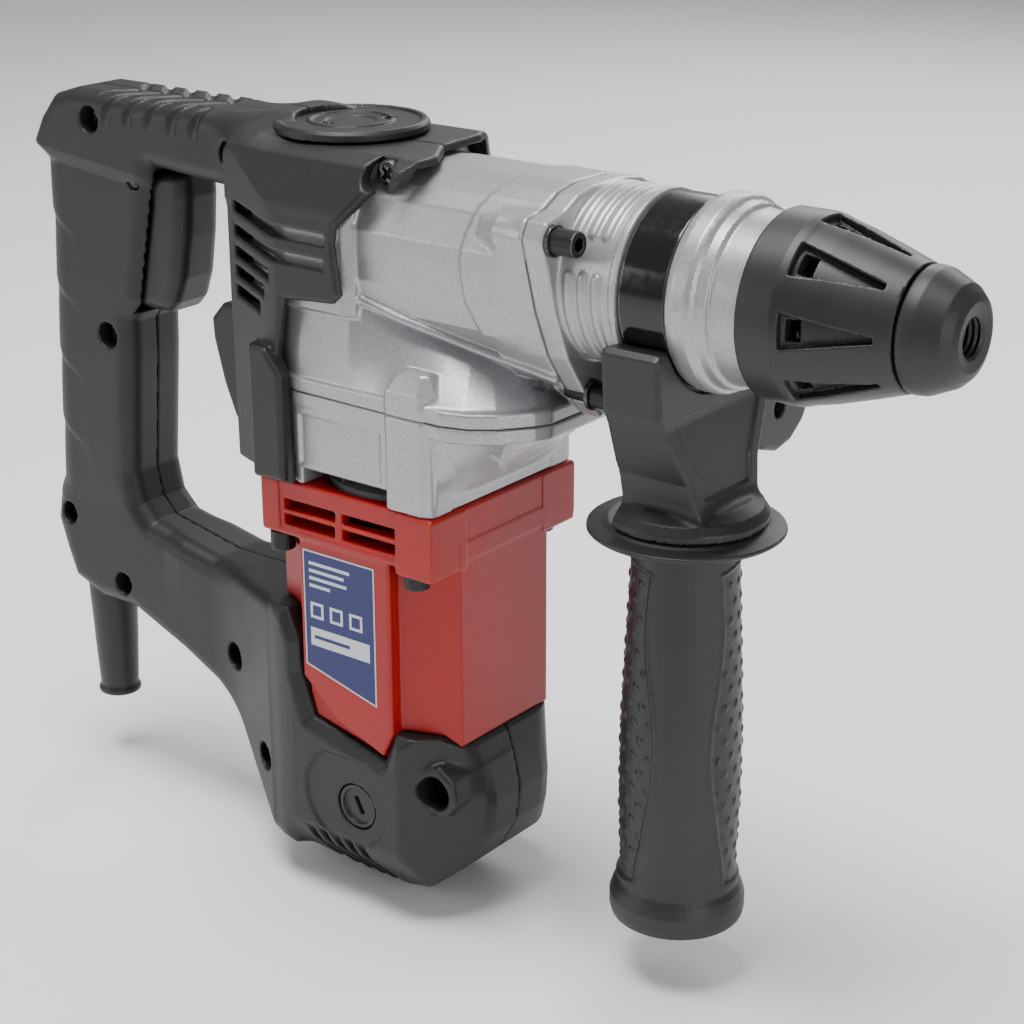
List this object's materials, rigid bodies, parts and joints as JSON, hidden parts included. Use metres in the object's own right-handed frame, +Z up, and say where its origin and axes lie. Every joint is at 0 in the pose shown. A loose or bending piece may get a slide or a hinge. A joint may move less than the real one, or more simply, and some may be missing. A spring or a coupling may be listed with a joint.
{
  "type": "rotary hammer",
  "caption": "Corded rotary hammer drill with an upright motor, D-shaped rear handle with trigger, quick-release bit chuck and swivelling side handle.",
  "frame": {"origin": "bottom centre of the whole tool's box, under the motor end's lowest point", "axes": "+X forward to the chuck, along the spindle and the tool's longest extent; +Y to the tool's left, its shortest extent; +Z up, along the upright motor"},
  "size_m": [0.365, 0.104, 0.26],
  "materials": {
    "shell_plastic": "satin moulded grain",
    "soft_rubber": "matt",
    "silver_paint": "metallic paint on cast alloy",
    "red_plastic": "satin",
    "black_enamel": "gloss",
    "black_screw_steel": "blackened",
    "tool_steel": "ground",
    "piston_alloy": "turned",
    "copper": "enamelled wire and copper bars",
    "brush_brass": "folded sheet",
    "motor_iron": "stacked sheets",
    "fan_plastic": "moulded",
    "switch_plastic": "moulded",
    "carbon": "pressed carbon"
  },
  "bodies": {
    "housing": {"handle_shell_right": "shell_plastic", "handle_shell_left": "shell_plastic", "cable_boot": "soft_rubber", "switch_body": "switch_plastic", "grease_cap": "shell_plastic", "gearbox_case": "silver_paint", "fan_case": "silver_paint", "motor_housing": "red_plastic", "front_barrel": "silver_paint", "brush_cap_right": "shell_plastic", "brush_cap_left": "shell_plastic", "brush_holder_right": "brush_brass", "brush_holder_left": "brush_brass", "stator_core": "motor_iron", "field_coil_front": "copper", "field_coil_rear": "copper", "armature_bearing_upper": "tool_steel", "armature_bearing_lower": "tool_steel", "crank_bearing": "tool_steel", "countershaft_bearing": "tool_steel", "tube_bearing": "tool_steel", "spindle_bearing": "tool_steel", "barrel_screw_1": "black_screw_steel", "barrel_screw_2": "black_screw_steel", "barrel_screw_3": "black_screw_steel", "barrel_screw_4": "black_screw_steel", "flange_screw_1": "black_screw_steel", "flange_screw_2": "black_screw_steel", "flange_screw_3": "black_screw_steel", "flange_screw_4": "black_screw_steel"},
    "armature": {"armature_shaft": "tool_steel", "armature_core": "motor_iron", "armature_windings": "copper", "commutator": "copper", "cooling_fan": "fan_plastic"},
    "crank": {"crank_gear": "tool_steel"},
    "countershaft": {"countershaft": "tool_steel"},
    "spindle": {"hammer_tube": "tool_steel", "bevel_ring": "tool_steel", "tool_holder": "tool_steel", "locking_ball_lower": "tool_steel", "locking_ball_upper": "tool_steel", "sleeve_spring": "tool_steel", "dust_cap": "soft_rubber"},
    "piston": {"connecting_rod": "tool_steel", "piston_pin": "tool_steel", "piston": "piston_alloy"},
    "striker": {"striker": "tool_steel"},
    "impact_bolt": {"impact_bolt": "tool_steel"},
    "sleeve": {"chuck_sleeve": "shell_plastic", "ball_ring": "tool_steel"},
    "trigger": {"trigger": "shell_plastic"},
    "selector": {"mode_selector": "shell_plastic"},
    "brush_right": {"brush_right": "carbon"},
    "brush_left": {"brush_left": "carbon"},
    "side_handle": {"handle_saddle": "shell_plastic", "clamp_band": "black_enamel", "clamp_bolt": "tool_steel"},
    "grip": {"side_grip": "shell_plastic"},
    "depth_button": {"depth_button": "red_plastic"}
  },
  "joints": [
    {"name": "armature_spin", "type": "hinge", "parent": "housing", "child": "armature", "pos_m": [-0.0115, -0.01, 0.106], "axis": [0, 0, 1], "continuous": true},
    {"name": "crank_spin", "type": "hinge", "parent": "housing", "child": "crank", "pos_m": [-0.0355, -0.01, 0.186], "axis": [0, 0, 1], "continuous": true},
    {"name": "countershaft_spin", "type": "hinge", "parent": "housing", "child": "countershaft", "pos_m": [0.0125, -0.01, 0.186], "axis": [0, 0, 1], "continuous": true},
    {"name": "spindle_spin", "type": "hinge", "parent": "housing", "child": "spindle", "pos_m": [0.0575, -0.01, 0.226], "axis": [1, 0, 0], "continuous": true},
    {"name": "piston_slide", "type": "slide", "parent": "housing", "child": "piston", "axis": [1, 0, 0], "range_m": [-0.02, 0]},
    {"name": "striker_slide", "type": "slide", "parent": "housing", "child": "striker", "axis": [1, 0, 0], "range_m": [-0.01, 0.0035]},
    {"name": "impact_bolt_slide", "type": "slide", "parent": "housing", "child": "impact_bolt", "axis": [1, 0, 0], "range_m": [-0.0035, 0.002]},
    {"name": "sleeve_slide", "type": "slide", "parent": "spindle", "child": "sleeve", "axis": [1, 0, 0], "range_m": [-0.008, 0], "stiffness_N_per_m": 1200, "springref_m": 0.006, "deforming": ["sleeve_spring"]},
    {"name": "trigger_pull", "type": "hinge", "parent": "housing", "child": "trigger", "pos_m": [-0.1255, -0.01, 0.23], "axis": [0, 1, 0], "range_deg": [0, 5], "stiffness_Nm_per_rad": 1.5, "springref_deg": -5.73},
    {"name": "mode_turn", "type": "hinge", "parent": "housing", "child": "selector", "pos_m": [0.0195, 0.024, 0.226], "axis": [0, 1, 0], "range_deg": [-90, 0]},
    {"name": "brush_right_slide", "type": "slide", "parent": "housing", "child": "brush_right", "axis": [0, -1, 0], "range_m": [0, 0.002], "stiffness_N_per_m": 300, "springref_m": -0.01},
    {"name": "brush_left_slide", "type": "slide", "parent": "housing", "child": "brush_left", "axis": [0, 1, 0], "range_m": [0, 0.002], "stiffness_N_per_m": 300, "springref_m": -0.01},
    {"name": "side_handle_swivel", "type": "hinge", "parent": "housing", "child": "side_handle", "pos_m": [0.09265, -0.01, 0.226], "axis": [1, 0, 0], "range_deg": [-180, 180]},
    {"name": "grip_turn", "type": "hinge", "parent": "side_handle", "child": "grip", "pos_m": [0.09265, -0.01, 0.106], "axis": [0, 0, -1], "range_deg": [0, 360]},
    {"name": "depth_button_push", "type": "slide", "parent": "side_handle", "child": "depth_button", "axis": [1, 0, 0], "range_m": [0, 0.002], "stiffness_N_per_m": 500, "springref_m": -0.002}
  ],
  "couplings": [
    {"joint": "crank_spin", "follows": "armature_spin", "ratio": -0.18919},
    {"joint": "countershaft_spin", "follows": "armature_spin", "ratio": -0.18919},
    {"joint": "spindle_spin", "follows": "armature_spin", "ratio": -0.038808}
  ]
}
